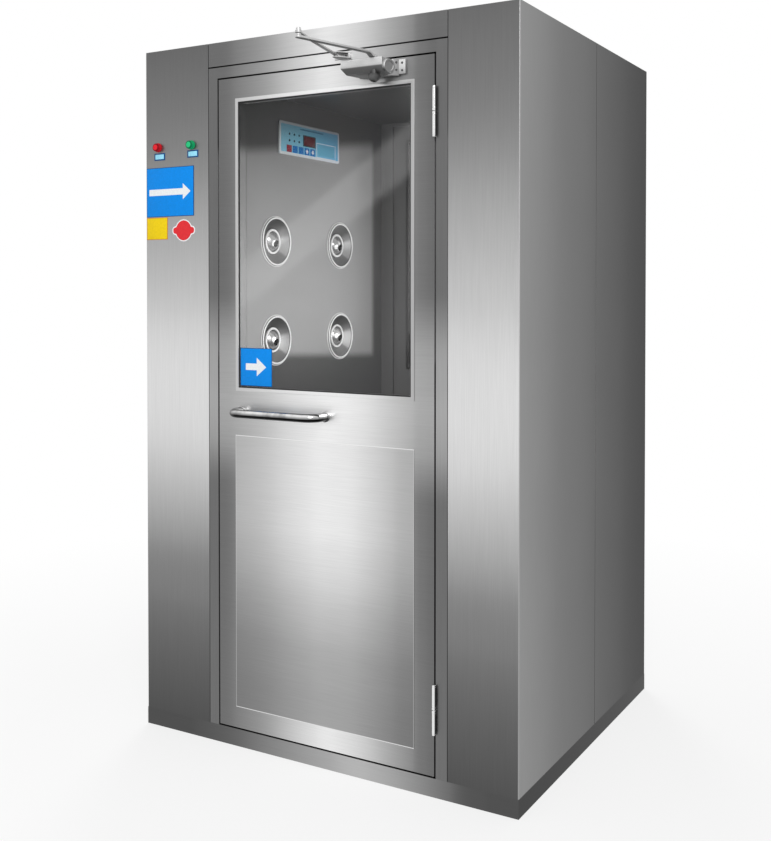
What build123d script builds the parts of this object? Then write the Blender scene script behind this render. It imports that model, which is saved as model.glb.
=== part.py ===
from build123d import *
import math
import os

# Cleanroom air shower: a stainless cabin that people walk through, with a glazed door at each end.
# Millimetres. X runs along the entrance face, +Y from the entrance to the exit, +Z up.
# The origin is the middle of the base, at floor level.

# Cabin outside
width = 1300.0
depth = 1110.0
height = 2165.0
base_height = 53.0
base_rail = 50.0
floor_sheet = 3.0
panel = 15.0
seam = 2.0
fold_radius = 3.0
roof_drop = 2.0
roof_thickness = 18.0
side_seam_y = 37.0

# Door frame on the entrance face; the left cabinet is the wider one
frame_left = -393.0
frame_right = 438.0
door_left = -352.5
door_right = 397.0
door_gap = 5.0
door_top = 2050.0
head_top = 2089.0
frame_depth = 50.0
post_lap = 28.0
stop_lip = 14.0
stop_depth = 8.0
stop_gap = 0.5

# Door leaf, window and lower panel
leaf_thickness = 40.0
window_left = -277.0
window_right = 324.0
window_bottom = 1106.0
window_top = 1976.5
pane = 5.0
pane_inset = 3.0
trim_width = 11.0
trim_proud = 2.0
kick_left = -289.0
kick_right = 334.0
kick_bottom = 123.0
kick_top = 960.5
kick_proud = 1.5

# Pull handle, a bent tube
handle_left = -270.0
handle_right = 38.0
handle_z = 1034.0
handle_reach = 60.0
handle_radius = 12.5
handle_bend = 38.0
handle_foot_radius = 15.5
handle_foot = 4.0

# Lift-off hinges
hinge_x = 399.5
hinge_out = 6.0
hinge_radius = 5.5
hinge_length = 142.0
hinge_middles = (246.0, 1892.0)
hinge_joint = 1.0
hinge_pin = 3.0
hinge_play = 0.08
hinge_pin_rise = 50.0
hinge_plate = 1.6
hinge_plate_depth = 32.0
hinge_collar_radius = 6.2
hinge_collar = 3.0

# Door closer with two arms
spindle = (232.0, -600.0)
elbow = (163.0, -868.0)
shoe_pin = (98.0, -590.0)
closer_left = 128.0
closer_face_right = 271.0
closer_right = 285.0
closer_bottom = 2006.0
closer_top = 2047.0
closer_out = 58.0
closer_cut = 28.0
closer_face_bottom = 2024.0
closer_knee = 2012.0
closer_knee_out = 48.0
closer_round = 5.0
end_cap_radius = 19.5
end_cap_right = 281.0
end_block_left = 255.0
end_block_out = 34.0
plate_left = 160.0
plate_right = 310.0
plate_bottom = 2003.0
plate_top = 2044.0
plate_thickness = 8.0
boss_radius = 18.0
boss_drop = 8.0
spindle_radius = 6.0
spindle_rise = 7.0
hub_radius = 10.0
arm_play = 0.1
arm_gap = 1.0
arm_thickness = 4.0
arm_width = 14.0
arm_low = 2048.5
arm_high = 2059.0
arm_flat = 14.0
arm_ramp = 24.0
arm_bend = 10.0
arm_end_radius = 9.0
arm_spacer_radius = 7.0
link_bottom = 2071.0
link_width = 10.0
link_end_radius = 7.0
knob_radius = 6.5
knob_height = 8.5
shoe_left = 74.0
shoe_right = 128.0
shoe_bottom = 2065.0
shoe_top = 2082.0
shoe_sheet = 3.0
shoe_end_depth = 13.0
shoe_pin_radius = 4.0
shoe_nose = 9.0

# Inside the cabin
wall_left = -395.0
wall_right = 440.0
inner_wall = 10.0
ceiling_z = 2055.0
nozzle_y = (-200.0, 200.0)
nozzle_z = (900.5, 1234.5, 1568.5)
flange_radius = 83.0
flange_proud = 3.0
rim_radius = 79.0
rim_proud = 5.0
dish_radius = 74.0
dish_bottom_radius = 44.0
dish_depth = 14.0
ring_radius = 42.5
ring_depth = 10.0
cup_wall = 3.0
throat_radius = 34.8
throat_depth = 36.0
wall_hole_radius = 78.0
ball_radius = 35.0
ball_depth = 30.0
ball_back = 18.0
jet_radius = 12.0
jet_back_radius = 20.0
jet_tilt = 13.0
grille_width = 500.0
grille_bottom = 110.0
grille_top = 410.0
grille_thickness = 4.0
grille_margin = 24.0
slot_count = 10
slot_height = 9.0
grille_lap = 12.0

# Control panel and pilot lamps
control_width = 373.0
control_height = 112.0
control_z = 1925.0
control_thickness = 6.0
lamp_z = 1858.0
red_lamp_x = -598.0
green_lamp_x = -462.0
lamp_radius = 13.0
lamp_length = 12.0
lamp_dome = 4.0
bezel_radius = 14.5
bezel_length = 4.0

front = -depth / 2
leaf_bottom = base_height + door_gap
opening_top = door_top + door_gap
jamb_left = door_left - door_gap
jamb_right = door_right + door_gap


def slab(x0, x1, y0, y1, z0, z1):
    middle = Pos((x0 + x1) / 2, (y0 + y1) / 2, (z0 + z1) / 2)
    return middle * Box(x1 - x0, y1 - y0, z1 - z0)


def post(x, y, z0, z1, radius):
    return Pos(x, y, (z0 + z1) / 2) * Cylinder(radius, z1 - z0)


def other_end(solid):
    return mirror(solid, about=Plane.XZ)


def save(name, solids):
    shape = solids[0] if len(solids) == 1 else Compound(children=[Solid(s.solid().wrapped) for s in solids])
    export_step(shape, f"parts/{name}.step")


def save_both_ends(name, solids):
    save(f"{name}_front", solids)
    save(f"{name}_rear", [other_end(s) for s in solids])


# Base: a rectangular ring of rails, three cross rails under the floor sheet, and a
# bottom sheet under each side cabinet
def base_frame():
    ring = slab(-width / 2, width / 2, front, -front, 0, base_height)
    inner_x = width / 2 - base_rail
    inner_y = -front - base_rail
    sheet_bottom = base_height - floor_sheet
    ring -= slab(-inner_x, inner_x, -inner_y, inner_y, 0, base_height)
    for x in (wall_left, 0.0, wall_right):
        half = base_rail / 2
        ring += slab(x - half, x + half, -inner_y, inner_y, 0, sheet_bottom)
    for x0, x1 in ((-inner_x, wall_left), (wall_right, inner_x)):
        ring += slab(x0, x1, -inner_y, inner_y, sheet_bottom, base_height)
    return ring


def floor_plate():
    inner_y = -front - base_rail
    return slab(wall_left, wall_right, -inner_y, inner_y, base_height - floor_sheet, base_height)


# Corner covers: a folded face and side return, from the frame seam round to the side seam
def corner_cover(side_x, frame_x, side_y):
    lift = (height - base_height) / 2 + base_height
    outer = math.copysign(width / 2, side_x)
    inner = outer - math.copysign(panel, side_x)
    face = slab(min(outer, frame_x), max(outer, frame_x), front, front + panel, base_height, height)
    side = slab(min(outer, inner), max(outer, inner), front, side_y, base_height, height)
    cover = face + side
    corner = cover.edges().filter_by(Axis.Z).sort_by_distance((outer, front, lift))[0]
    return fillet(corner, fold_radius)


def header_panel():
    half = seam / 2
    return slab(frame_left + half, frame_right - half, front, front + panel, head_top + half, height)


def roof_panel():
    x = width / 2 - panel
    y = -front - panel
    return slab(-x, x, -y, y, height - roof_drop - roof_thickness, height - roof_drop)


# Door frame: the posts run behind the corner covers
def jamb(edge, outer, inward):
    half = seam / 2
    behind = outer - inward * post_lap
    visible = outer + inward * half
    top = head_top - half
    strip = slab(min(edge, visible), max(edge, visible), front, front + panel, base_height, top)
    rear = slab(min(edge, behind), max(edge, behind), front + panel, front + frame_depth, base_height, top)
    return strip + rear


def frame_head():
    return slab(jamb_left, jamb_right, front, front + frame_depth, opening_top, head_top - seam / 2)


# Stops: strips behind the leaf down both sides of the opening and across its top
def door_stops():
    back = front + frame_depth
    near = back - stop_depth
    inner_left, inner_right = jamb_left + stop_lip, jamb_right - stop_lip
    return [slab(jamb_left, inner_left, near, back, base_height, opening_top),
            slab(inner_right, jamb_right, near, back, base_height, opening_top),
            slab(inner_left + stop_gap, inner_right - stop_gap, near, back,
                 opening_top - stop_lip, opening_top)]


# Door leaf with the window cut through it
def door_leaf():
    leaf = slab(door_left, door_right, front, front + leaf_thickness, leaf_bottom, door_top)
    return leaf - slab(window_left, window_right, front, front + leaf_thickness, window_bottom, window_top)


def window_panes():
    near = front + pane_inset
    far = front + leaf_thickness - pane_inset
    return [slab(window_left, window_right, y, y + pane, window_bottom, window_top)
            for y in (near, far - pane)]


def window_trims():
    def ring(y):
        outer = slab(window_left - trim_width, window_right + trim_width, y, y + trim_proud,
                     window_bottom - trim_width, window_top + trim_width)
        return outer - slab(window_left, window_right, y, y + trim_proud, window_bottom, window_top)
    return [ring(front - trim_proud), ring(front + leaf_thickness)]


def kick_panel():
    return slab(kick_left, kick_right, front - kick_proud, front, kick_bottom, kick_top)


def door_handle():
    y_bar = front - handle_reach
    path = FilletPolyline(
        (handle_left, front, handle_z), (handle_left, y_bar, handle_z),
        (handle_right, y_bar, handle_z), (handle_right, front, handle_z),
        radius=handle_bend)
    start = Plane(origin=(handle_left, front, handle_z), z_dir=(0, -1, 0))
    tube = sweep(start * Circle(handle_radius), path=path)
    for x in (handle_left, handle_right):
        foot = Cylinder(handle_foot_radius, handle_foot)
        tube += Pos(x, front - handle_foot / 2, handle_z) * Rot(90, 0, 0) * foot
    return tube


# Hinges: each has a lower half with the pin on the frame and an upper half on the leaf
def hinge_halves():
    y = front - hinge_out
    posts, knuckles = [], []
    for middle in hinge_middles:
        low, high = middle - hinge_length / 2, middle + hinge_length / 2
        upper = middle + hinge_joint
        lower_half = post(hinge_x, y, low, middle, hinge_radius)
        lower_half += post(hinge_x, y, middle - hinge_collar, middle, hinge_collar_radius)
        lower_half += slab(jamb_right - hinge_plate, jamb_right, y, y + hinge_plate_depth, low, middle)
        lower_half += post(hinge_x, y, middle, upper + hinge_pin_rise, hinge_pin)
        posts.append(lower_half)
        upper_half = post(hinge_x, y, upper, high, hinge_radius)
        upper_half += slab(door_right, door_right + hinge_plate, y, y + hinge_plate_depth, upper, high)
        hole = post(hinge_x, y, upper, upper + hinge_pin_rise + hinge_joint, hinge_pin + hinge_play)
        knuckles.append(upper_half - hole)
    return posts, knuckles


# Closer: a flat-fronted case that slopes in underneath and is cut off aslant at the left,
# with a round cap and a screw block at the right, a dome below and the spindle above
def closer_body():
    back = front - plate_thickness
    reach = front - closer_out
    middle_z = (closer_top + closer_bottom) / 2
    section = make_face(Polyline(
        (back, closer_top), (reach, closer_top), (reach, closer_face_bottom),
        (front - closer_knee_out, closer_knee), (back, closer_bottom), close=True))
    top_edge = section.vertices().sort_by_distance((reach, closer_top, 0))[0]
    section = Plane.YZ.offset(closer_left) * fillet(top_edge, closer_round)
    case = extrude(section, closer_face_right - closer_left)
    outline = Polyline((closer_left, reach), (closer_left + closer_cut, back),
                       (closer_left, back), close=True)
    case -= Pos(0, 0, closer_bottom) * extrude(make_face(outline), closer_top - closer_bottom)
    cap_length = end_cap_right - end_block_left
    cap = Pos((end_cap_right + end_block_left) / 2, reach + end_cap_radius, middle_z)
    case += cap * Rot(0, 90, 0) * Cylinder(end_cap_radius, cap_length)
    case += slab(end_block_left, closer_right, front - end_block_out, back, closer_bottom, plate_top)
    case += slab(plate_left, plate_right, back, front, plate_bottom, plate_top)
    dome_z = closer_bottom - boss_drop
    case += Pos(*spindle, dome_z) * Sphere(boss_radius) + post(*spindle, dome_z, middle_z, boss_radius)
    return case + post(*spindle, middle_z, closer_top + spindle_rise, spindle_radius)


def bearing(start, end):
    return math.degrees(math.atan2(end[1] - start[1], end[0] - start[0]))


# Main arm: a flat bar that steps up from the spindle and runs out to the elbow
def closer_arm():
    length = math.dist(spindle, elbow)
    foot, rise = arm_flat, arm_flat + arm_ramp
    low, high = arm_low, arm_high
    outline = Polyline((0, low), (foot, low), (rise, high), (length, high),
                       (length, high + arm_thickness), (rise, high + arm_thickness),
                       (foot, low + arm_thickness), (0, low + arm_thickness), close=True)
    profile = make_face(outline)
    profile = fillet([v for v in profile.vertices() if 0 < round(v.X) < round(length)], arm_bend)
    bar = extrude(Plane.XZ * profile, arm_width / 2, both=True)
    bar += post(0, 0, low, low + arm_thickness, hub_radius)
    bar += post(length, 0, high, high + arm_thickness, arm_end_radius)
    bar += post(length, 0, high, link_bottom - arm_gap, arm_spacer_radius)
    bar -= post(0, 0, low, low + arm_thickness, spindle_radius + arm_play)
    return Pos(*spindle, 0) * Rot(0, 0, bearing(spindle, elbow)) * bar


# Link: a flat bar from the elbow knob back to the shoe on the frame head
def closer_link():
    length = math.dist(shoe_pin, elbow)
    top = link_bottom + arm_thickness
    bar = Pos(length / 2, 0, (link_bottom + top) / 2) * Box(length, link_width, arm_thickness)
    bar += post(0, 0, link_bottom, top, link_end_radius)
    bar += post(length, 0, link_bottom, top, arm_end_radius)
    bar += post(length, 0, top, top + knob_height, knob_radius)
    bar -= post(0, 0, link_bottom, top, shoe_pin_radius + arm_play)
    return Pos(*shoe_pin, 0) * Rot(0, 0, bearing(shoe_pin, elbow)) * bar


# Shoe: a small channel screwed to the frame head, with one closed end; its two cheeks
# hold the link's pin
def closer_shoe():
    x, y = shoe_pin
    shoe = slab(shoe_left, shoe_right, front - shoe_sheet, front, shoe_bottom, shoe_top)
    shoe += slab(shoe_right - shoe_sheet, shoe_right, front - shoe_end_depth, front, shoe_bottom, shoe_top)
    outline = Polyline((x - shoe_nose, front), (x - shoe_nose, y), (x + shoe_nose, y),
                       (shoe_right, front - shoe_end_depth), (shoe_right, front), close=True)
    for z0 in (shoe_bottom, shoe_top - shoe_sheet):
        shoe += Pos(0, 0, z0) * extrude(make_face(outline), shoe_sheet)
        shoe += post(x, y, z0, z0 + shoe_sheet, shoe_nose)
    return shoe + post(x, y, shoe_bottom, shoe_top, shoe_pin_radius)


# Nozzles: a rimmed dish set into the inner wall, with a raised ring round the ball
def nozzle_cup():
    inner = [(dish_radius, rim_proud), (dish_bottom_radius, -dish_depth), (ring_radius, -dish_depth),
             (ring_radius, -ring_depth), (throat_radius, -ring_depth), (throat_radius, -throat_depth)]
    outer = [(throat_radius + cup_wall, -throat_depth), (throat_radius + cup_wall, -dish_depth - cup_wall),
             (dish_radius + cup_wall, 0), (flange_radius, 0), (flange_radius, flange_proud),
             (rim_radius, flange_proud), (rim_radius, rim_proud)]
    outline = make_face(Plane.XZ * Polyline(*inner, *outer, close=True))
    return revolve(outline, Axis.Z)


# The ball aims its jet a little downwards
def nozzle_ball():
    block = Box(2 * ball_radius, 2 * ball_radius, 2 * ball_radius)
    ball = Sphere(ball_radius) & Pos(0, 0, ball_radius - ball_back) * block
    ball -= Cone(jet_back_radius, jet_radius, 2 * ball_radius)
    return Pos(0, 0, -ball_depth) * Rot(0, jet_tilt, 0) * ball


def on_walls(shape):
    placed = []
    for x, turn in ((wall_left, Rot(0, 90, 0)), (wall_right, Rot(0, -90, 0) * Rot(0, 0, 180))):
        for y in nozzle_y:
            placed += [Pos(x, y, z) * turn * shape for z in nozzle_z]
    return placed


def wall_sheet(face_x, side):
    behind = face_x + side * inner_wall
    end_y = -front - frame_depth
    x0, x1 = min(face_x, behind), max(face_x, behind)
    sheet = slab(x0, x1, -end_y, end_y, base_height, ceiling_z)
    for y in nozzle_y:
        for z in nozzle_z:
            sheet -= Pos((x0 + x1) / 2, y, z) * Rot(0, 90, 0) * Cylinder(wall_hole_radius, inner_wall)
    half = grille_width / 2 - grille_lap
    return sheet - slab(x0, x1, -half, half, grille_bottom + grille_lap, grille_top - grille_lap)


def grille(face_x, side):
    front_x = face_x - side * grille_thickness
    x0, x1 = min(face_x, front_x), max(face_x, front_x)
    plate = slab(x0, x1, -grille_width / 2, grille_width / 2, grille_bottom, grille_top)
    reach = grille_width / 2 - grille_margin
    pitch = (grille_top - grille_bottom - 2 * grille_margin) / slot_count
    for i in range(slot_count):
        z = grille_bottom + grille_margin + pitch * (i + 0.5)
        plate -= slab(x0, x1, -reach, reach, z - slot_height / 2, z + slot_height / 2)
    return plate


def ceiling_panel():
    end_y = -front - frame_depth
    return slab(wall_left - inner_wall, wall_right + inner_wall, -end_y, end_y,
                ceiling_z, ceiling_z + inner_wall)


def control_panel():
    half_z = control_height / 2
    face = slab(wall_left, wall_left + control_thickness, -control_width / 2, control_width / 2,
                control_z - half_z, control_z + half_z)
    return fillet(face.edges().filter_by(Axis.X), control_thickness)


def pilot_lamp(x):
    length = bezel_length + lamp_length
    lamp = Pos(0, 0, length / 2) * Cylinder(lamp_radius, length)
    lamp = fillet(lamp.edges().group_by(Axis.Z)[-1], lamp_dome)
    lamp += Pos(0, 0, bezel_length / 2) * Cylinder(bezel_radius, bezel_length)
    return Pos(x, front, lamp_z) * Rot(90, 0, 0) * lamp


os.makedirs("parts", exist_ok=True)

half_seam = seam / 2
save("base_frame", [base_frame()])
save("floor_plate", [floor_plate()])
for side, side_x, frame_x in (("left", -1, frame_left - half_seam), ("right", 1, frame_right + half_seam)):
    save(f"corner_cover_{side}_front", [corner_cover(side_x, frame_x, side_seam_y - half_seam)])
    save(f"corner_cover_{side}_rear", [other_end(corner_cover(side_x, frame_x, -side_seam_y - half_seam))])
save_both_ends("header_panel", [header_panel()])
save("roof_panel", [roof_panel()])
save_both_ends("frame_jambs", [jamb(jamb_left, frame_left, 1), jamb(jamb_right, frame_right, -1)])
save_both_ends("frame_head", [frame_head()])
save_both_ends("door_stops", door_stops())

save_both_ends("door_leaf", [door_leaf()])
save_both_ends("window_glass", window_panes())
save_both_ends("window_trim", window_trims())
save_both_ends("kick_panel", [kick_panel()])
save_both_ends("door_handle", [door_handle()])
hinge_posts, hinge_knuckles = hinge_halves()
save_both_ends("hinge_posts", hinge_posts)
save_both_ends("hinge_knuckles", hinge_knuckles)
save_both_ends("closer_body", [closer_body()])
save_both_ends("closer_arm", [closer_arm()])
save_both_ends("closer_link", [closer_link()])
save_both_ends("closer_shoe", [closer_shoe()])

save("inner_wall_left", [wall_sheet(wall_left, -1)])
save("inner_wall_right", [wall_sheet(wall_right, 1)])
save("ceiling_panel", [ceiling_panel()])
save("nozzle_cups", on_walls(nozzle_cup()))
save("nozzle_balls", on_walls(nozzle_ball()))
save("return_grilles", [grille(wall_left, -1), grille(wall_right, 1)])
save("control_panel", [control_panel()])
for colour, lamp_x in (("red", red_lamp_x), ("green", green_lamp_x)):
    lamp = pilot_lamp(lamp_x)
    save(f"pilot_lamps_{colour}", [lamp, other_end(lamp)])
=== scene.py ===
# Cleanroom air shower: finishes, fittings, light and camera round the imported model
import math
from functools import partial
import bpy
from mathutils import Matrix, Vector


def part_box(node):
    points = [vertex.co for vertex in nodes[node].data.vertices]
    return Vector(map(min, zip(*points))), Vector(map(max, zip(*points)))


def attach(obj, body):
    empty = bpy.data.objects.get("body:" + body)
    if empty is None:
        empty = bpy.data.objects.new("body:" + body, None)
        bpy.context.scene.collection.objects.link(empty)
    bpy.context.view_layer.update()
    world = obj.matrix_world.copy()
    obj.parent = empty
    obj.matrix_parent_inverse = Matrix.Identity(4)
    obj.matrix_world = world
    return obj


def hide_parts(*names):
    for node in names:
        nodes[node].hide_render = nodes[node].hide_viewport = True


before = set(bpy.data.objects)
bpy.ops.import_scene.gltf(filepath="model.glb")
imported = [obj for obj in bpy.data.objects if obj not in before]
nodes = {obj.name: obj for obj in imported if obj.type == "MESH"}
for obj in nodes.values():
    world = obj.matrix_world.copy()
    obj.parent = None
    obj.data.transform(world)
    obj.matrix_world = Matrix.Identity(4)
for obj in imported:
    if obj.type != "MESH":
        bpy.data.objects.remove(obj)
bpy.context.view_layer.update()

from types import SimpleNamespace
import bmesh
import bpy
from mathutils import Matrix, Vector

mm = 0.001
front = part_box("door_leaf_front")[0][1]  # the entrance face, in metres
frontY = front / mm
mirrorY = Matrix.Diagonal((1, -1, 1, 1))
faceOut = Matrix.Rotation(math.pi / 2, 4, "X")  # a turned piece's height then points along -Y
alongX = Matrix.Rotation(math.pi / 2, 4, "Y")


# ---- colours, nodes and materials

def colour(hexCode):
    channels = [int(hexCode[i:i + 2], 16) / 255 for i in (1, 3, 5)]
    linear = [c / 12.92 if c <= 0.04045 else ((c + 0.055) / 1.055) ** 2.4 for c in channels]
    return (*linear, 1.0)


def grey(level):
    return "#" + f"{round(level):02x}" * 3


def setInput(socket, term):
    if isinstance(term, bpy.types.NodeSocket):
        socket.id_data.links.new(term, socket)
    elif isinstance(term, str):
        socket.default_value = colour(term)[:len(socket.default_value)]
    else:
        socket.default_value = term


def plug(node, **inputs):
    for name, term in inputs.items():
        setInput(node.inputs[name.replace("_", " ")], term)


def addNode(tree, kind, *terms, **settings):
    # terms fill the open inputs in order, a setting with a capital is an input, the rest are modes
    node = tree.nodes.new("ShaderNode" + kind)
    for name, value in settings.items():
        if name[0].islower():
            setattr(node, name, value)
    for socket, term in zip([socket for socket in node.inputs if socket.enabled], terms):
        setInput(socket, term)
    plug(node, **{name: term for name, term in settings.items() if name[0].isupper()})
    return next(socket for socket in node.outputs if socket.enabled)


smooth = {"interpolation_type": "SMOOTHSTEP"}
tint = {"data_type": "RGBA"}
multiplied = {"data_type": "RGBA", "blend_type": "MULTIPLY"}
overlaid = {"data_type": "RGBA", "blend_type": "OVERLAY"}
times, plus, minus = {"operation": "MULTIPLY"}, {"operation": "ADD"}, {"operation": "SUBTRACT"}
timesPlus = {"operation": "MULTIPLY_ADD"}
above, below, larger = {"operation": "GREATER_THAN"}, {"operation": "LESS_THAN"}, {"operation": "MAXIMUM"}


def newMaterial(name, metallic=0.0, roughness=0.5, **sockets):
    material = bpy.data.materials.new(name)
    material.use_nodes = True
    add = partial(addNode, material.node_tree)
    space = add("TexCoord").node.outputs
    shader = material.node_tree.nodes["Principled BSDF"]
    plug(shader, Metallic=metallic, Roughness=roughness, **sockets)
    return SimpleNamespace(material=material, shader=shader, add=add, place=space["Object"],
                           at=add("SeparateXYZ", space["Object"]).node.outputs,
                           normal=add("SeparateXYZ", space["Normal"]).node.outputs)


def toneRamp(look, reading, stops, interpolation="CARDINAL", unit=mm):
    # stops are (place, colour), the lowest first, with the place in millimetres unless unit says else
    low, high = stops[0][0], stops[-1][0]
    tone = look.add("ValToRGB", look.add("MapRange", reading, low * unit, high * unit))
    ramp = tone.node.color_ramp
    ramp.interpolation = interpolation
    while len(ramp.elements) < len(stops):
        ramp.elements.new(0.5)
    for element, (place, shade) in zip(ramp.elements, stops):
        element.position = (place - low) / (high - low)
        element.color = colour(shade if isinstance(shade, str) else grey(shade))
    return tone


def distance(look, reading, middle=0.0):
    return look.add("Math", look.add("Math", reading, middle, **minus), operation="ABSOLUTE")


def radiusOf(look, across, up):
    squares = [look.add("Math", side, side, **times) for side in (across, up)]
    return look.add("Math", look.add("Math", *squares, **plus), operation="SQRT")


def looksAlong(look, axis):
    # 1 where a face looks along that axis, either way
    return look.add("Math", distance(look, look.normal[axis]), 0.75, **above)


def mottled(look, grain, detail=2.0):
    # a cloudy pattern with that grain in millimetres
    return look.add("TexNoise", look.place, Scale=1 / (grain * mm), Detail=detail)


def drifting(look, pattern, share):
    # about 1, and lower or higher by that share with the pattern
    return look.add("MapRange", pattern, 0.3, 0.7, 1 - share, 1 + share)


def shaded(look, tone, strength):
    return look.add("VectorMath", tone, strength, operation="SCALE")


def bumped(look, pattern, strength, height):
    plug(look.shader, Normal=look.add("Bump", Height=pattern, Strength=strength, Distance=height * mm))


# Brush lines on stainless are a tenth of a millimetre wide; they are drawn 1.2 mm wide and
# 120 mm long so that they show
brushLine = {"wide": 1.2, "long": 120.0, "contrast": 0.05, "bump": 0.02, "height": 0.5,
             "cloud": 1000 / 3, "drift": 0.015}


def brushedFinish(look, tone, grain, contrast=1.0):
    scale = [1 / (brushLine["wide"] * mm)] * 3
    scale["XYZ".index(grain)] = 1 / (brushLine["long"] * mm)
    stretch = look.add("Mapping", look.place, Scale=scale)
    lines = look.add("TexNoise", stretch, Scale=1.0, Detail=2.0, Roughness=0.6)
    light = look.add("Math", drifting(look, lines, brushLine["contrast"] * contrast),
                     drifting(look, mottled(look, brushLine["cloud"]), brushLine["drift"]), **times)
    plug(look.shader, Base_Color=shaded(look, tone, light),
         Roughness=look.add("MapRange", lines, To_Min=0.3, To_Max=0.42))
    bumped(look, lines, brushLine["bump"], brushLine["height"])
    return look.material


# Painted tones of the sheet steel, in sRGB grey, by place in millimetres: the soft reflection of a bright room
# painted into each run of sheet, a painted highlight band by the handle, and painted shade on the plinth and
# cabin lining
columnSheenTones = [(53, 84), (400, 118), (605, 148), (860, 202), (1080, 220), (1340, 202), (1740, 150),
               (2165, 108)]
sideSheenTones = [(-555, 158), (-300, 140), (0, 123), (300, 103), (555, 85)]
doorSheenTones = [(-393, 110), (-294, 125), (-142, 172), (0, 221), (80, 227), (208, 190), (330, 138),
             (375, 114), (438, 111)]
handleHighlightBand = [(745, 0), (840, 46), (930, 118), (1040, 141), (1118, 140), (1250, 125), (1366, 54), (1450, 0)]
kickSheenTones = [(-289, 180), (-146, 206), (-20, 231), (60, 236), (154, 225), (266, 193), (334, 176)]
kickLightFall = [(123, 176), (240, 180), (375, 194), (521, 223), (667, 249), (760, 255)]
baseSheenAndShade = [(-470, 82), (-235, 117), (56, 168), (192, 177), (446, 110), (565, 82)]
baseSideShade = [(-555, 80), (555, 96)]
liningShadeTones = [(53, 82), (1100, 76), (1380, 88), (1500, 90), (1800, 80), (2055, 62)]
seamTone = grey(14)
grazingTint = (0.5, 0.5, 0.5, 1.0)  # keeps long sheets from turning white at a low angle


def darkSeam(look, tone):
    # the narrow level faces inside a joint between two sheets
    return look.add("Mix", looksAlong(look, "Z"), tone, seamTone, **tint)


def sheetSteel():
    # 304 stainless cover sheet, brushed upright: a satin grey with a painted reflection of soft light across the
    # grain
    look = newMaterial("brushed_cover_steel", metallic=1.0, Specular_Tint=grazingTint)
    tone = look.add("Mix", looksAlong(look, "X"), toneRamp(look, look.at["Z"], columnSheenTones),
                    toneRamp(look, look.at["Y"], sideSheenTones), **tint)
    corner = look.add("Math", distance(look, look.normal["X"]), distance(look, look.normal["Y"]), **times)
    corner = look.add("Math", corner, 1.2, **times)  # above 0 only on the folded corner
    # a painted highlight on the folded corner
    tone = look.add("Mix", corner, tone, grey(176), **tint)
    return brushedFinish(look, darkSeam(look, tone), "Z")


def doorHighlightBand(look, tone):
    # a painted highlight: the brighter band level with the handle, strongest in the middle of the door
    middle = look.add("MapRange", distance(look, look.at["X"], 20 * mm), 60 * mm, 330 * mm, 1.75, 1.0, **smooth)
    rise = look.add("Math", toneRamp(look, look.at["Z"], handleHighlightBand), middle, **times)
    return look.add("Mix", rise, tone, grey(255), **tint)


def liningTone(look, lit):
    # painted light and shade: the lining is painted dark as in the dim cabin, and daylight through the door is
    # painted on the left wall in a patch with soft edges
    dark = toneRamp(look, look.at["Z"], liningShadeTones)
    if not lit:
        return dark
    top = look.add("Math", look.at["Y"], -0.139, look.at["Z"], **timesPlus)
    bottom = look.add("Math", look.at["Y"], 0.047, look.at["Z"], **timesPlus)
    under = look.add("MapRange", top, 1880 * mm, 1935 * mm, 1.0, 0.0, **smooth)
    over = look.add("MapRange", bottom, 1155 * mm, 1195 * mm, **smooth)
    near = look.add("MapRange", look.at["Y"], 416 * mm, 458 * mm, 1.0, 0.0, **smooth)
    patch = look.add("Math", look.add("Math", under, over, **times), near, **times)
    bright = toneRamp(look, look.at["Z"], [(1150, 164), (1500, 163), (1930, 158)])
    return look.add("Mix", patch, dark, bright, **tint)


def facesInside(look):
    # 1 on the cabin's side of a door
    return look.add("Math", distance(look, look.at["Y"]), -front - 25 * mm, **below)


def insideLight(look, tone):
    # faces that look into the cabin are satin, with painted shade on the cabin side and the painted light of the
    # cabin walls on the door edges
    sideways = look.add("Math", look.normal["X"], 0.75, **above)
    inner = facesInside(look)
    satin = look.add("Math", sideways, inner, **larger)
    plug(look.shader, Metallic=look.add("Math", satin, -0.75, 1.0, **timesPlus))
    cutEdge = look.add("Mix", 1.0, liningTone(look, True),
                       toneRamp(look, look.at["Z"], [(1100, 206), (1950, 250)]), **multiplied)
    return look.add("Mix", sideways, look.add("Mix", inner, tone, grey(118), **tint), cutEdge, **tint)


def doorSteel(name):
    # 304 stainless door skin, brushed level: a painted reflection that stands in upright bands
    look = newMaterial(name, metallic=1.0)
    tone = doorHighlightBand(look, toneRamp(look, look.at["X"], doorSheenTones))
    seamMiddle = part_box("frame_head_front")[1][2] + 2.5 * mm
    shadow = look.add("MapRange", distance(look, look.at["Z"], seamMiddle), 2.4 * mm, 1.4 * mm)
    tone = look.add("Mix", shadow, tone, seamTone, **tint)  # the shadow along the joint over the door
    return brushedFinish(look, insideLight(look, darkSeam(look, tone)), "X")


def frameSteel():
    # the same sheet folded into door posts: a plain mid grey, with a painted highlight beside the handle
    look = newMaterial("brushed_frame_steel", metallic=1.0)
    return brushedFinish(look, insideLight(look, doorHighlightBand(look, grey(112))), "Z")


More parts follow.
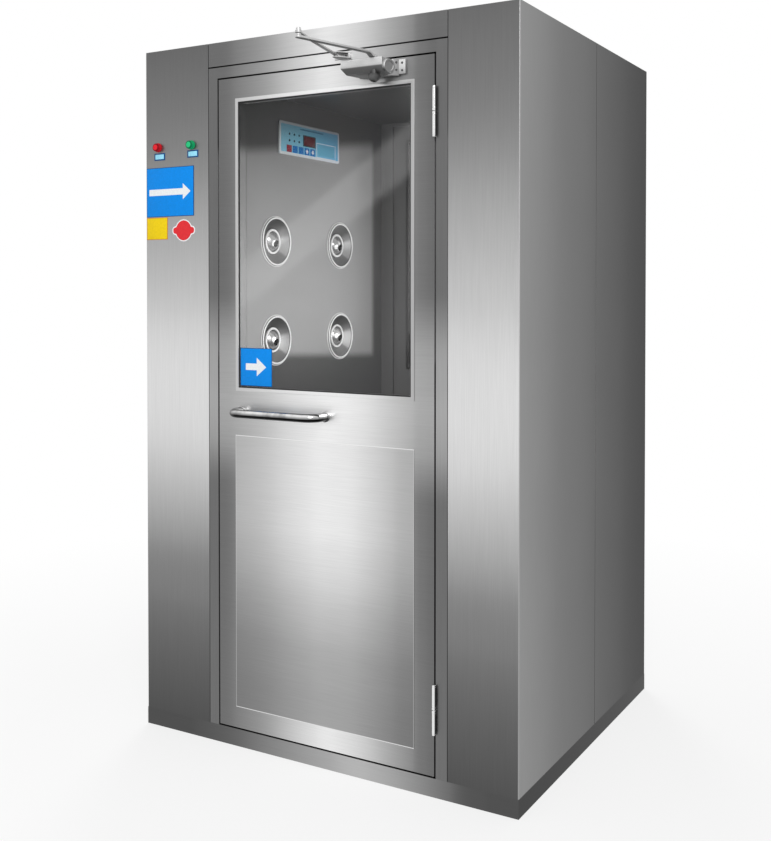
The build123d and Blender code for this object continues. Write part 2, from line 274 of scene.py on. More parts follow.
def kickSteel():
    # a second skin on the lower door, brushed level, with a painted reflection that grows brighter upwards and a
    # painted highlight along its edges
    look = newMaterial("brushed_lower_panel", metallic=1.0)
    tone = look.add("Mix", 1.0, toneRamp(look, look.at["X"], kickSheenTones),
                    toneRamp(look, look.at["Z"], kickLightFall), **multiplied)
    low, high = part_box("kick_panel_front")
    edgeHighlights = []
    for i, axis, start, strength in ((0, "X", 2.2, 0.3), (2, "Z", 2.6, 0.8)):
        middle, half = (low[i] + high[i]) / 2, (high[i] - low[i]) / 2
        edge = look.add("MapRange", distance(look, look.at[axis], middle), half - start * mm, half - 1.2 * mm)
        edgeHighlights.append(look.add("Math", edge, strength, **times))
    return brushedFinish(look, look.add("Mix", look.add("Math", *edgeHighlights, **larger), tone, grey(246), **tint), "X")


def baseSteel():
    # folded plinth channel, with painted shade because it looks at the floor and a painted reflection brighter
    # across its middle
    look = newMaterial("brushed_plinth_steel", metallic=1.0, Specular_Tint=grazingTint)
    tone = look.add("Mix", looksAlong(look, "X"), toneRamp(look, look.at["X"], baseSheenAndShade),
                    toneRamp(look, look.at["Y"], baseSideShade), **tint)
    return brushedFinish(look, tone, "X")


def plainSteel(name, level, grain):
    # stainless in a plain tone, for parts that the light doesn't band
    look = newMaterial(name, metallic=1.0, Specular_Tint=grazingTint)
    return brushedFinish(look, grey(level), grain)


def wallSteel(name, lit):
    # matt stainless lining, which spreads the light instead of mirroring it, painted in the shade of the cabin
    look = newMaterial(name, metallic=0.25)
    return brushedFinish(look, liningTone(look, lit), "Y", contrast=0.5)


def windowGlass():
    # clear toughened glass, faintly grey, with one soft slanting painted band of reflected light
    look = newMaterial("toughened_window_glass", roughness=0.06, IOR=1.45)
    slope, height = 0.655, 1597 * mm
    lift = look.add("Math", look.at["X"], -slope, look.at["Z"], **timesPlus)
    band = look.add("MapRange", distance(look, lift, height), 59 * mm, 85 * mm, 1.0, 0.0, **smooth)
    film = look.add("Mix", 0.04, grey(120), mottled(look, 250).node.outputs["Color"], **tint)
    plug(look.shader, Base_Color=look.add("Mix", band, film, grey(215), **tint),
         Alpha=look.add("Math", band, 0.012, 0.03, **timesPlus))
    return look.material


def rubber(name, level):
    # EPDM seal: soft black, with a faint moulded mottle
    look = newMaterial(name, roughness=0.75)
    mottle = mottled(look, 2)
    plug(look.shader, Base_Color=toneRamp(look, mottle, [(0.3, level - 6), (0.7, level + 8)], unit=1))
    return look.material


def printed(name, hexCode, roughness=0.35, drift=0.05):
    # printed vinyl film: even colour with a slight print mottle and a satin face
    look = newMaterial(name, roughness=roughness, Specular_IOR_Level=0.07)
    plug(look.shader, Base_Color=shaded(look, hexCode, drifting(look, mottled(look, 6, 3.0), drift)))
    return look.material


# ---- modelling helpers

def deselect():
    bpy.ops.object.select_all(action="DESELECT")


def selected(piece):
    deselect()
    piece.select_set(True)
    bpy.context.view_layer.objects.active = piece
    return piece


def started(name, operator, **settings):
    deselect()
    operator(**settings)
    piece = bpy.context.object
    piece.name = piece.data.name = name
    return piece


def choose(piece, kind, rule):
    # edit mode with only those faces or corners selected that the rule takes by their place
    selected(piece)
    bpy.ops.object.mode_set(mode="EDIT")
    bpy.ops.mesh.select_mode(type=kind)
    bpy.ops.mesh.select_all(action="DESELECT")
    mesh = bmesh.from_edit_mesh(piece.data)
    for corner in mesh.verts:
        corner.select_set(kind == "VERT" and rule(corner.co))
    if kind == "FACE":
        for face in mesh.faces:
            face.select_set(rule(face.calc_center_median(), face.normal))
    mesh.select_flush_mode()
    bmesh.update_edit_mesh(piece.data)


def chooseAll(piece):
    choose(piece, "VERT", lambda co: True)


def objectMode():
    bpy.ops.object.mode_set(mode="OBJECT")


def pulled(travel):
    bpy.ops.mesh.extrude_region_move(TRANSFORM_OT_translate={"value": Vector(travel) * mm})


def applied(piece):
    bpy.ops.object.transform_apply(location=True, rotation=True, scale=True)
    return piece


def outward(piece):
    # merges doubled corners and points the faces outwards
    chooseAll(piece)
    bpy.ops.mesh.remove_doubles(threshold=0.00001)
    bpy.ops.mesh.normals_make_consistent(inside=False)
    objectMode()
    return piece


def softened(piece, width, segments=2):
    modifier = piece.modifiers.new("edgeRound", "BEVEL")
    modifier.width = width * mm
    modifier.segments = segments
    modifier.limit_method = "ANGLE"
    modifier.angle_limit = math.radians(35)
    selected(piece)
    bpy.ops.object.modifier_apply(modifier=modifier.name)
    return piece


def polyline(name, points):
    # one corner drawn out point by point, as with extrude
    piece = started(name, bpy.ops.mesh.primitive_plane_add, size=0.01)
    chooseAll(piece)
    bpy.ops.mesh.merge(type="CENTER")
    bpy.ops.transform.translate(value=Vector(points[0]) * mm)
    for last, point in zip(points, points[1:]):
        step = (Vector(point) - Vector(last)) * mm
        bpy.ops.mesh.extrude_vertices_move(TRANSFORM_OT_translate={"value": step})
    objectMode()
    return piece


def spun(name, profile, steps=40):
    # profile is (radius, height) in mm, turned about Z
    piece = polyline(name, [(r, 0, z) for r, z in profile])
    chooseAll(piece)
    bpy.ops.mesh.spin(steps=steps, angle=2 * math.pi, center=(0, 0, 0), axis=(0, 0, 1))
    objectMode()
    return outward(piece)


def plate(name, low, high, edge=0.5):
    middle = [(a + b) / 2 * mm for a, b in zip(low, high)]
    piece = started(name, bpy.ops.mesh.primitive_cube_add, size=1, location=middle)
    piece.scale = [(b - a) * mm for a, b in zip(low, high)]
    return softened(applied(piece), edge)


def drawn(name, outline, travel, edge=0.5, segments=2):
    # a closed outline filled and pulled out along travel
    piece = polyline(name, outline + [outline[0]])
    chooseAll(piece)
    bpy.ops.mesh.remove_doubles(threshold=0.00001)
    bpy.ops.mesh.edge_face_add()
    pulled(travel)
    objectMode()
    outward(piece)
    return softened(piece, edge, segments) if edge else piece


def frameRing(name, x, z, y, width, depth, edge=0.5):
    # a mitred frame standing in the XZ plane, from y forwards by depth
    piece = started(name, bpy.ops.mesh.primitive_plane_add, size=1,
                    location=(sum(x) / 2 * mm, y * mm, sum(z) / 2 * mm), rotation=(math.pi / 2, 0, 0))
    piece.scale = ((x[1] - x[0]) * mm, (z[1] - z[0]) * mm, 1)
    choose(applied(piece), "FACE", lambda co, normal: True)
    bpy.ops.mesh.inset(thickness=width * mm, depth=0)
    bpy.ops.mesh.delete(type="FACE")
    bpy.ops.mesh.select_all(action="SELECT")
    pulled((0, -depth, 0))
    objectMode()
    return softened(outward(piece), edge)


def joined(name, pieces):
    deselect()
    for piece in pieces:
        piece.select_set(True)
    bpy.context.view_layer.objects.active = pieces[0]
    bpy.ops.object.join()
    pieces[0].name = pieces[0].data.name = name
    return pieces[0]


def copied(piece, name, matrix=Matrix()):
    twin = piece.copy()
    twin.data = piece.data.copy()
    bpy.context.scene.collection.objects.link(twin)
    twin.name = twin.data.name = name
    twin.data.transform(matrix)
    if matrix.determinant() < 0:
        twin.data.flip_normals()
    return twin


def placed(piece, point, matrix=Matrix()):
    # puts a piece modelled at the origin in its place, in its mesh
    piece.data.transform(Matrix.Translation(Vector(point) * mm) @ matrix)
    return piece


def copiesAt(model, places, matrix=Matrix()):
    # a copy of the model at each place, in place of the model
    copies = [placed(copied(model, model.name + "_copy"), place, matrix) for place in places]
    bpy.data.objects.remove(model)
    return copies


def finished(piece, material, body, slot, *replaced, angle=32):
    selected(piece)
    bpy.ops.object.shade_smooth_by_angle(angle=math.radians(angle))
    piece.data.materials.clear()
    piece.data.materials.append(material)
    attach(piece, body)
    if replaced:
        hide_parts(*replaced)


def bothEnds(piece, material, part, slot, replaced=""):
    # the entrance piece, and its mirror image at the exit; part is "door", "closer_arm" or "root"
    base = piece.name
    twin = copied(piece, base + "_rear", mirrorY)
    piece.name = piece.data.name = base + "_front"
    for end, one in (("front", piece), ("rear", twin)):
        body = "root" if part == "root" else f"{end}_{part}"
        finished(one, material, body, slot, *([f"{replaced}_{end}"] if replaced else []))


# ---- finishes on the nodes that stay

def dressed(name, material):
    for slot in nodes[name].material_slots:
        slot.material = material


doorSkin, headSteel = doorSteel("brushed_door_steel"), doorSteel("brushed_header_steel")
cover, postSteel, lowerSteel, glass = sheetSteel(), frameSteel(), kickSteel(), windowGlass()
lining = wallSteel("matt_lining_steel", False)
nodeFinish = {"base_frame": baseSteel(), "floor_plate": plainSteel("matt_tread_steel", 150, "X"),
              "roof_panel": plainSteel("brushed_roof_steel", 128, "X"), "ceiling_panel": lining,
              "inner_wall_left": wallSteel("matt_lining_steel_lit", True), "inner_wall_right": lining,
              "return_grilles": lining}
endFinish = {"corner_cover_left": cover, "corner_cover_right": cover, "header_panel": headSteel,
             "frame_head": headSteel, "frame_jambs": postSteel, "door_stops": postSteel,
             "door_leaf": doorSkin, "kick_panel": lowerSteel, "window_glass": glass}
for name, material in nodeFinish.items():
    dressed(name, material)
for name, material in endFinish.items():
    for end in ("front", "rear"):
        dressed(f"{name}_{end}", material)
print("sheet steel and glass finished")

# ---- pull handle

handle = {"left": -270.0, "right": 38.0, "height": 1034.0, "reach": 60.0, "radius": 12.5, "bend": 38.0,
          "footRadius": 15.5, "foot": 4.0}


def chromeTube():
    # polished stainless tube: a painted reflection, with a bright upper half and the dark floor mirrored
    # underneath, and painted glints along its length
    look = newMaterial("polished_handle_tube", metallic=1.0, roughness=0.12)
    tone = toneRamp(look, look.normal["Z"], [(-1, 100), (-0.85, 70), (-0.6, 22), (-0.25, 34), (-0.05, 140),
                                             (0.2, 185), (0.5, 236), (0.85, 215), (1, 40)], unit=1)
    glintPattern = look.add("TexNoise", look.place, Scale=26.0, Detail=2.0)
    paintedGlints = toneRamp(look, glintPattern, [(0.3, 190), (0.5, 235), (0.7, 255)], unit=1)
    plug(look.shader, Base_Color=look.add("Mix", 1.0, tone, paintedGlints, **multiplied))
    bumped(look, look.add("TexNoise", look.place, Scale=900.0), 0.02, 0.2)
    return look.material


def makeHandle():
    h = handle
    straight = h["reach"] - h["bend"]
    tube = started("door_handle_tube", bpy.ops.mesh.primitive_circle_add, vertices=32,
                   radius=h["radius"] * mm, rotation=(math.pi / 2, 0, 0),
                   location=(h["left"] * mm, front, h["height"] * mm))
    chooseAll(applied(tube))
    pulled((0, -straight, 0))
    for middle, travel in ((h["left"] + h["bend"], (h["right"] - h["left"] - 2 * h["bend"], 0, 0)),
                           (h["right"] - h["bend"], (0, straight, 0))):
        bpy.ops.mesh.spin(steps=12, angle=math.pi / 2, axis=(0, 0, -1),
                          center=(middle * mm, front - straight * mm, 0))
        pulled(travel)
    objectMode()
    outward(tube)
    r, t, hole = h["footRadius"], h["foot"], h["radius"] - 0.2
    foot = spun("handle_foot", [(r - 4, 0), (r, 0), (r, t - 1.5), (r - 0.8, t - 0.4), (r - 2, t), (hole, t),
                                (hole, 0)], 32)
    feet = copiesAt(foot, [(h[side], frontY, h["height"]) for side in ("left", "right")], faceOut)
    return joined("door_handle_tube", [tube, *feet])


bothEnds(makeHandle(), chromeTube(), "door", "handle_chrome", "door_handle")
print("handles made")

# ---- hinges

hinge = {"x": 399.5, "out": 6.0, "radius": 6.2, "length": 142.0, "middles": (246.0, 1892.0), "joint": 1.0,
         "washer": 9.0, "frameLeaf": (400.6, 402.0), "doorLeaf": (397.0, 398.4), "leafReach": 30.0,
         "leafInset": 3.0}


def hingeSteel():
    # bright zinc on turned steel, with painted shade down both sides of the barrel
    look = newMaterial("bright_hinge_steel", metallic=1.0, roughness=0.2)
    tone = toneRamp(look, look.normal["X"], [(-1, 40), (-0.7, 90), (-0.4, 214), (0.1, 232), (0.6, 214),
                                             (0.86, 90), (1, 40)], unit=1)
    rings = look.add("TexNoise", look.place, Scale=700.0, Detail=1.0).node.outputs["Color"]
    plug(look.shader, Base_Color=look.add("Mix", 0.12, tone, rings, **overlaid))
    return look.material


def hingeBarrel(name, joint):
    # half a barrel from 0 upwards, with a rounded end and a turned ring by the joint
    r, long = hinge["radius"], hinge["length"] / 2 - joint
    end = [(0, 0), (3.2, 0), (4.6, 0.7), (r - 0.2, 2.0), (r, 3.2), (r, 5.0), (r - 0.5, 5.4), (r - 0.5, 6.4),
           (r, 6.8)]
    ring = [(r, long - 9.0), (r - 0.5, long - 8.6), (r - 0.5, long - 7.8), (r + 0.5, long - 7.2),
            (r + 0.5, long - 1.2), (r, long - 0.5), (r - 0.8, long), (2.9, long)]
    return spun(name, end + ring, 28)


def makeHinges():
    x, y, inset = hinge["x"], frontY - hinge["out"], hinge["leafInset"]
    lowerHalves, upperHalves = [], []
    for middle in hinge["middles"]:
        low, high = middle - hinge["length"] / 2, middle + hinge["length"] / 2
        lowerHalves.append(placed(hingeBarrel("hinge_post", 0), (x, y, low)))
        upperHalves.append(placed(hingeBarrel("hinge_knuckle", hinge["joint"]), (x, y, high),
                                  Matrix.Rotation(math.pi, 4, "X")))
        for halves, (x0, x1), z0, z1 in ((lowerHalves, hinge["frameLeaf"], low + inset, middle - 1),
                                         (upperHalves, hinge["doorLeaf"], middle + 2, high - inset)):
            halves.append(plate("hinge_leaf", (x0, y, z0), (x1, y + hinge["leafReach"], z1), 0.3))
    r, foot = hinge["washer"], hinge["middles"][1] - hinge["length"] / 2
    washer = spun("hinge_washer", [(3, 0), (r - 1, 0), (r, 0.8), (r - 1.6, 2.2), (hinge["radius"] - 0.4, 3.4)],
                  28)
    lowerHalves.append(placed(washer, (x, y, foot)))
    return joined("hinge_post", lowerHalves), joined("hinge_knuckle", upperHalves)


zinc = hingeSteel()
lower, upper = makeHinges()
bothEnds(lower, zinc, "root", "hinge_steel", "hinge_posts")
bothEnds(upper, zinc, "door", "hinge_steel", "hinge_knuckles")
print("hinges made")

# ---- window frame, window seal, and the door seal on the stops behind the leaf

window = {"x": (-277.0, 324.0), "z": (1106.0, 1976.5), "trim": 11.0, "proud": 2.0, "seal": 3.5,
          "sealThick": 2.4, "glassDepth": 3.0, "leafAndTrim": 42.0}
doorSeal = {"x": (-356.5, 401.0), "z": (53.5, 2054.0), "behind": 42.0, "width": 12.5, "thick": 1.4}


def satinTrim():
    # satin aluminium section with a painted reflection, palest near the middle of the door, and painted shade on
    # the faces towards the cabin
    look = newMaterial("satin_window_trim", metallic=1.0)
    tone = toneRamp(look, look.at["X"], [(-288, 194), (-140, 222), (60, 240), (220, 218), (335, 180)])
    tone = look.add("Mix", facesInside(look), tone, grey(116), **tint)
    return brushedFinish(look, tone, "Z", contrast=0.6)


def makeTrim():
    # one frame on each face of the door
    (x0, x1), (z0, z1), w = window["x"], window["z"], window["trim"]
    outer = frameRing("window_frame", (x0 - w, x1 + w), (z0 - w, z1 + w), frontY, w, window["proud"], 0.6)
    return joined("window_frame", [outer, placed(copied(outer, "window_frame_inner"),
                                                 (0, window["leafAndTrim"], 0))])


def makeDoorSeal():
    # three sided, open at the threshold
    s = doorSeal
    seal = frameRing("door_seal", s["x"], s["z"], frontY + s["behind"], s["width"], s["thick"], 0.4)
    choose(seal, "FACE", lambda co, normal: co.z < (s["z"][0] + s["width"] + 1) * mm)
    bpy.ops.mesh.delete(type="FACE")
    objectMode()
    return seal


trim = makeTrim()
windowSeal = frameRing("window_seal", window["x"], window["z"], frontY + window["glassDepth"],
                       window["seal"], window["sealThick"], 0.6)
bothEnds(trim, satinTrim(), "door", "trim_steel", "window_trim")
bothEnds(windowSeal, rubber("black_window_seal", 34), "door", "trim_steel")
bothEnds(makeDoorSeal(), rubber("black_door_seal", 26), "root", "frame_steel")
print("window and door seals made")

# ---- door closer

closer = {"left": 128.0, "faceRight": 264.0, "bottom": 1999.0, "top": 2047.0, "out": 58.0, "cut": 28.0,
          "faceBottom": 2024.0, "knee": 2007.0, "kneeOut": 46.0,
          "capRadius": 19.5, "capRight": 278.0, "capLength": 16.0, "slant": math.radians(20),
          "blockLeft": 250.0, "blockFront": 276.0, "blockBack": 290.0, "blockOut": 22.0,
          "plate": (160.0, 310.0, 2003.0, 2044.0), "plateThick": 8.0, "domeRadius": 18.0, "domeTop": 1998.0,
          "spindle": (232.0, -600.0), "elbow": (163.0, -868.0), "shoePin": (98.0, -590.0),
          "armWidth": 18.0, "armThick": 6.0, "armLow": 2048.5, "armHigh": 2058.0, "elbowRadius": 8.9,
          "linkWidth": 12.0, "linkThick": 5.0, "linkLow": 2070.5}
shoe = {"left": 74.0, "right": 128.0, "low": 2065.0, "high": 2082.0, "sheet": 3.0, "endDepth": 13.0,
        "nose": 9.0, "screws": (113.0, 121.0), "screwHeight": 2073.5}


def silverEnamel(name, stops, endShade):
    # silver stoving enamel over a die casting: fine metal flake, with painted light on top and painted shade
    # below and on the end faces
    look = newMaterial(name, metallic=0.55, roughness=0.4)
    tone = toneRamp(look, look.normal["Z"], stops, unit=1)
    tone = look.add("Mix", look.add("MapRange", look.normal["X"], 0.3, 0.6), tone, grey(endShade), **tint)
    flake = mottled(look, 1.5)
    plug(look.shader, Base_Color=shaded(look, tone, drifting(look, flake, 0.06)))
    bumped(look, flake, 0.05, 0.2)
    return look.material


def circlePoints(radius, start, stop, step):
    turns = [math.radians(degree) for degree in range(start, stop, step)]
    return [(radius * math.cos(turn), radius * math.sin(turn)) for turn in turns]


def screwsAt(name, places, matrix, radius=3.2, head=1.8):
    # button heads with a hexagon socket
    screw = spun(name, [(0, head - 1.4), (radius * 0.42, head - 1.4), (radius * 0.46, head),
                        (radius * 0.72, head), (radius * 0.95, head * 0.55), (radius, 0),
                        (radius * 0.6, -0.4)], 18)
    return joined(name, copiesAt(screw, places, matrix))


def makeCloser():
    c = closer
    left, bottom, back, reach = c["left"], c["bottom"], frontY - c["plateThick"], frontY - c["out"]
    case = drawn("closer_case", [(left, back, c["top"]), (left, reach, c["top"]),
                                 (left, reach, c["faceBottom"]), (left, frontY - c["kneeOut"], c["knee"]),
                                 (left, back, bottom)], (c["faceRight"] - left, 0, 0), 0)
    choose(case, "FACE", lambda co, normal: True)
    bpy.ops.mesh.bisect(plane_co=(left * mm, reach * mm, 0), use_fill=True, clear_inner=True,
                        plane_no=(c["out"] - c["plateThick"], -c["cut"], 0))
    objectMode()
    softened(outward(case), 2.2, 3)
    # the round end face is turned a little towards the front, and so is the block behind it
    r, long, slant = c["capRadius"], c["capLength"], c["slant"]
    cap = spun("closer_cap", [(0, long - 2), (r - 7, long - 2), (r - 6, long - 0.2), (r - 4.5, long),
                              (r - 1.2, long), (r, long - 1.5), (r, 0)], 40)
    placed(cap, (c["capRight"] - long * math.cos(slant), reach + r + long * math.sin(slant),
                 (c["top"] + bottom) / 2), Matrix.Rotation(-slant, 4, "Z") @ alongX)
    x0, x1, z0, z1 = c["plate"]
    blockY = frontY - c["blockOut"]
    block = drawn("closer_block", [(c["blockLeft"], back, bottom), (c["blockLeft"], blockY, bottom),
                                   (c["blockFront"], blockY, bottom), (c["blockBack"], back, bottom)],
                  (0, 0, z1 - bottom), 1.0)
    base = plate("closer_plate", (x0, back, z0), (x1, frontY, z1), 1.2)
    shaft = spun("closer_shaft", [(9, 2045), (9, 2047.2), (6.2, 2048), (6, 2048.2), (6, 2052), (0, 2052)], 28)
    placed(shaft, (*c["spindle"], 0))
    return joined("closer_case", [case, cap, block, base, shaft])


def makeDome():
    # the cover over the lower end of the spindle
    top = closer["domeTop"]
    arc = [(r, top - drop) for r, drop in circlePoints(closer["domeRadius"], 0, 90, 9)]
    dome = spun("closer_dome", [(8, top + 18), (8, top + 6.5), (15, top + 5), *arc,
                                (0, top - closer["domeRadius"])], 40)
    return placed(dome, (*closer["spindle"], 0))


def makeCloserScrews():
    c = closer
    back = frontY - c["plateThick"]
    onPlate = screwsAt("closer_screws", [(300, back, z) for z in (2013.0, 2034.0)], faceOut)
    x, y = (c["blockFront"] + c["blockBack"]) / 2 + 1.5, (frontY - c["blockOut"] + back) / 2 + 1.5
    onBlock = screwsAt("block_screws", [(x, y, z) for z in (2014.5, 2035.5)],
                       Matrix.Rotation(-math.pi / 4, 4, "Z") @ alongX)
    return joined("closer_screws", [onPlate, onBlock])


def barBetween(name, start, side, width, ends, extras=()):
    # a flat bar from that pivot to the elbow: side is its outline seen from the side, and ends are
    # (x, low, high, radius) bosses
    bar = drawn(name, [(x, -width / 2, z) for x, z in side], (0, width, 0), 1.0)
    bosses = [placed(spun(name + "_boss", [(0, low), (r - 1, low), (r, low + 1), (r, high - 1), (r - 1, high),
                                           (0, high)], 28), (x, 0, 0)) for x, low, high, r in ends]
    (x0, y0), (x1, y1) = closer[start], closer["elbow"]
    bar = joined(name, [bar, *bosses])
    bar = joined(name, [bar, *extras]) if extras else bar
    return placed(bar, (x0, y0, 0), Matrix.Rotation(math.atan2(y1 - y0, x1 - x0), 4, "Z"))


def makeArm():
    c = closer
    long = math.dist(c["spindle"], c["elbow"])
    low, high, t = c["armLow"], c["armHigh"], c["armThick"]
    side = [(0, low), (9, low), (13, low + 1.6), (21, high - 1.6), (28, high), (long, high), (long, high + t),
            (24, high + t), (17, high + t - 1.6), (9, low + t + 1.6), (6, low + t), (0, low + t)]
    ends = [(0, low, low + t, 10.0), (long, high, high + t, c["elbowRadius"]),
            (long, high + t - 0.5, 2070.0, 7.0), (0, low + t - 0.5, low + t + 3.0, 5.0)]
    return barBetween("closer_main_arm", "spindle", side, c["armWidth"], ends)


def makeLink():
    c = closer
    long = math.dist(c["shoePin"], c["elbow"])
    low, t = c["linkLow"], c["linkThick"]
    side = [(0, low), (long, low), (long, low + t), (0, low + t)]
    ends = [(0, low, low + t, 7.0), (long, low, low + t, c["elbowRadius"])]
    bar = barBetween("closer_link_arm", "shoePin", side, c["linkWidth"], ends)
    knob = spun("elbow_knob", [(0, low + 14.5), (4.6, low + 14.5), (6.1, low + 13.4), (6.6, low + 12),
                               (6.8, low + 8.4), (7.6, low + 7.6), (8.4, low + 7.0), (8.7, low + 6.2),
                               (8.7, low + t - 0.5)], 32)
    return joined("closer_link_arm", [bar, placed(knob, (*c["elbow"], 0))])


def makeShoe():
    x, y = closer["shoePin"]
    right, low, high, sheet = shoe["right"], shoe["low"], shoe["high"], shoe["sheet"]
    endY = frontY - shoe["endDepth"]
    outline = [(x - shoe["nose"], frontY)] + [(x + px, y + py) for px, py in
                                              circlePoints(shoe["nose"], 180, 361, 20)]
    outline += [(right, endY), (right, frontY)]
    parts = [plate("shoe_web", (shoe["left"], frontY - sheet, low), (right, frontY, high), 0.6),
             plate("shoe_end", (right - sheet, endY, low), (right, frontY, high), 0.6)]
    for z in (low, high - sheet):
        parts.append(drawn("shoe_cheek", [(px, py, z) for px, py in outline], (0, 0, sheet), 0.6))
    pin = spun("shoe_pin", [(0, low - 0.4), (3.4, low - 0.4), (4, low + 0.3), (4, high - 0.3),
                            (3.4, high + 0.4), (0, high + 0.4)], 20)
    return joined("closer_shoe_channel", [*parts, placed(pin, (x, y, 0))])


caseEnamel = silverEnamel("silver_closer_enamel", [(-1, 96), (-0.86, 110), (-0.6, 84), (-0.25, 140),
                                                   (0, 208), (1, 226)], 146)
shoeEnamel = silverEnamel("silver_shoe_enamel", [(-1, 96), (-0.8, 105), (-0.3, 190), (0, 214), (1, 225)], 205)
armEnamel = silverEnamel("silver_arm_enamel", [(-1, 106), (-0.7, 116), (-0.2, 174), (0, 196), (0.6, 214),
                                               (1, 224)], 192)
# painted shade: a darker copy of the closer enamel for the dome under the case
shadedDomeEnamel = silverEnamel("shaded_dome_enamel", [(-1, 46), (-0.7, 72), (-0.3, 88), (0, 84), (1, 84)], 76)
screwSteel = plainSteel("dull_screw_steel", 92, "Z")
bothEnds(makeCloser(), caseEnamel, "door", "closer_alloy", "closer_body")
bothEnds(makeDome(), shadedDomeEnamel, "door", "closer_alloy")
bothEnds(makeCloserScrews(), screwSteel, "door", "arm_steel")
bothEnds(makeArm(), armEnamel, "closer_arm", "arm_steel", "closer_arm")
bothEnds(makeLink(), armEnamel, "closer_link", "arm_steel", "closer_link")
bothEnds(makeShoe(), shoeEnamel, "root", "arm_steel", "closer_shoe")
bothEnds(screwsAt("shoe_screws", [(x, frontY - shoe["sheet"], shoe["screwHeight"]) for x in shoe["screws"]],
                  faceOut, 2.6, 1.4), screwSteel, "root", "arm_steel")
print("closers made")

# ---- nozzles

nozzle = {"walls": ((-395.0, 1), (440.0, -1)), "y": (-200.0, 200.0), "z": (900.5, 1234.5, 1568.5),
          "ballRadius": 35.0, "ballDepth": 30.0, "tilt": 13.0, "jetDrop": 7.3}


def aroundNozzle(look):
    # how far across and up from the middle of the nearest nozzle, and the turn about it in half circles
    readings = []
    for axis, middles in (("Y", nozzle["y"]), ("Z", nozzle["z"])):
        first, half = middles[0] * mm, (middles[1] - middles[0]) / 2 * mm
        nearest = look.add("Math", look.at[axis], first + half, first - half, operation="WRAP")
        readings.append(look.add("Math", nearest, first, **minus))
    across, up = readings
    turn = look.add("Math", look.add("Math", up, across, operation="ARCTAN2"), math.pi, operation="DIVIDE")
    return across, up, turn


def spunSteel():
    # spun dish: the lathe lines catch the light in two painted highlight wedges that run out from the middle,
    # with painted reflection streaks
    look = newMaterial("spun_nozzle_steel", metallic=0.3, roughness=0.45)
    across, up, turn = aroundNozzle(look)
    reflectionWedges = toneRamp(look, turn, [(-1, 112), (-0.85, 120), (-0.42, 130), (-0.26, 138), (-0.2, 196),
                                   (0.06, 186), (0.13, 130), (0.3, 96), (0.62, 70), (0.74, 50), (0.9, 80),
                                   (1, 112)], "LINEAR", 1)
    radius = radiusOf(look, across, up)
    dish = look.add("Math", look.add("Math", radius, 44.8 * mm, **above),
                    look.add("Math", radius, 74.6 * mm, **below), **times)
    # painted highlight on the inner ring, with painted shade beside it
    rings = toneRamp(look, radius, [(30, 60), (34.6, 150), (35.4, 246), (42.4, 246), (43.2, 60), (44.8, 60)],
                     "LINEAR")
    # painted shade at the dish edge and in the groove, painted highlight on the rim and flange
    rims = toneRamp(look, radius, [(74.6, 50), (75.4, 60), (76, 252), (81.6, 248), (82.2, 80), (82.9, 80),
                                   (83.5, 240), (86.5, 215)], "LINEAR")
    tone = look.add("Mix", look.add("Math", radius, 60 * mm, **above), rings, rims, **tint)
    rays = look.add("TexNoise", look.add("Math", turn, 36, **times), noise_dimensions="1D", Detail=2.0)
    reflectionStreaks = toneRamp(look, rays, [(0.3, 215), (0.7, 255)], unit=1)
    tone = look.add("Mix", dish, tone, look.add("Mix", 1.0, reflectionWedges, reflectionStreaks, **multiplied), **tint)
    lathe = look.add("TexNoise", look.add("Math", radius, 1 / (1.5 * mm), **times), noise_dimensions="1D",
                     Detail=1.0)
    plug(look.shader, Base_Color=shaded(look, tone, drifting(look, lathe, 0.07)))
    return look.material


def polishedBall():
    # chromed ball: a painted reflection of the room mirrored small, a bright wedge beside a dark one
    look = newMaterial("polished_nozzle_ball", metallic=0.55, roughness=0.16)
    across, up, turn = aroundNozzle(look)
    reflectionWedges = toneRamp(look, turn, [(-1, 220), (-0.9, 165), (-0.6, 185), (-0.3, 165), (0, 130), (0.3, 145),
                                   (0.55, 175), (0.66, 200), (0.7, 255), (0.97, 255), (1, 220)], "LINEAR", 1)
    drop = look.add("Math", up, nozzle["jetDrop"] * mm, **plus)  # the jet points a little downwards
    # painted shade down the jet hole, with a painted highlight on its lip
    jet = toneRamp(look, radiusOf(look, across, drop),
                   [(9.5, 24), (11.4, 50), (12, 235), (12.8, 235), (13.6, 255)], "LINEAR")
    plug(look.shader, Base_Color=look.add("Mix", 1.0, reflectionWedges, jet, **multiplied))
    return look.material


